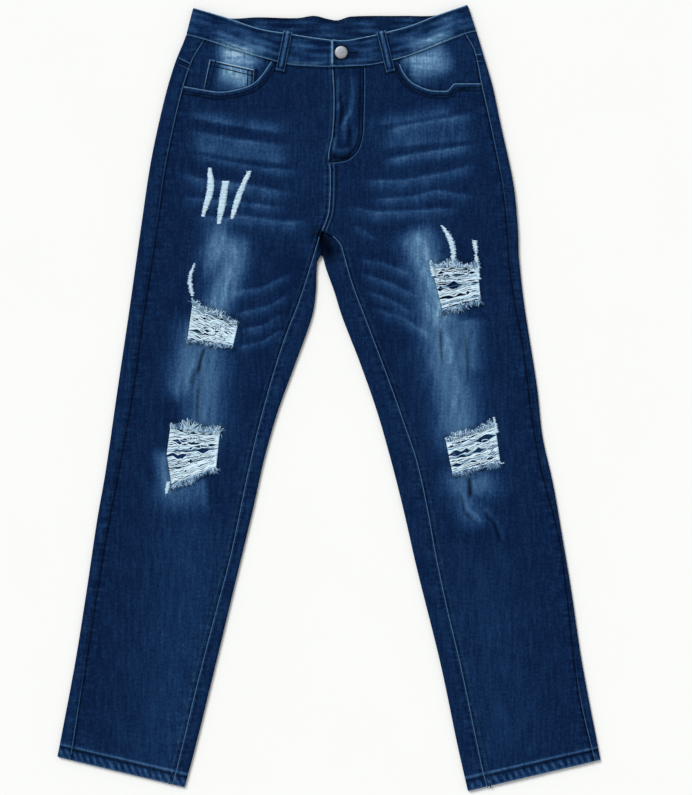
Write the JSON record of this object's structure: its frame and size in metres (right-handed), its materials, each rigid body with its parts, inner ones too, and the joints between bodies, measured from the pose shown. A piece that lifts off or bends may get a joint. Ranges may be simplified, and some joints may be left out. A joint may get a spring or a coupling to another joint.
{
  "type": "ripped jeans",
  "caption": "Dark blue stretch denim jeans laid flat, front up and buttoned, with worn fades, whiskers, slashes and frayed rips on thighs and knees.",
  "frame": {"origin": "middle of the outline's box, on the surface that the jeans lie on", "axes": "+Y up the garment towards the waist, +Z out of the front, -X towards the wearer's right side"},
  "size_m": [0.712, 1.03, 0.0131],
  "materials": {
    "denim": "dark indigo stretch twill, washed and sanded, with pale whiskers and matching blue topstitching",
    "faded_denim": "the same twill sanded pale blue on the pocket facings and coin pocket",
    "bare_thread": "bare off-white weft threads left across the rips, matt and hairy",
    "button_metal": "satin grey metal, plain domed face"
  },
  "bodies": {
    "root": {"front_right": "denim", "front_left": "denim", "back_right": "denim", "back_left": "denim", "yoke_right": "denim", "yoke_left": "denim", "waistband": "denim", "belt_loop_front_right": "denim", "belt_loop_front_left": "denim", "belt_loop_back_right": "denim", "belt_loop_back_centre": "denim", "belt_loop_back_left": "denim", "back_pocket_right": "denim", "back_pocket_left": "denim", "pocket_facing_right": "faded_denim", "pocket_facing_left": "faded_denim", "coin_pocket": "faded_denim", "rip_threads_right_thigh": "bare_thread", "rip_threads_left_thigh": "bare_thread", "rip_threads_right_knee": "bare_thread", "rip_threads_left_knee": "bare_thread", "button": "button_metal"}
  },
  "joints": []
}
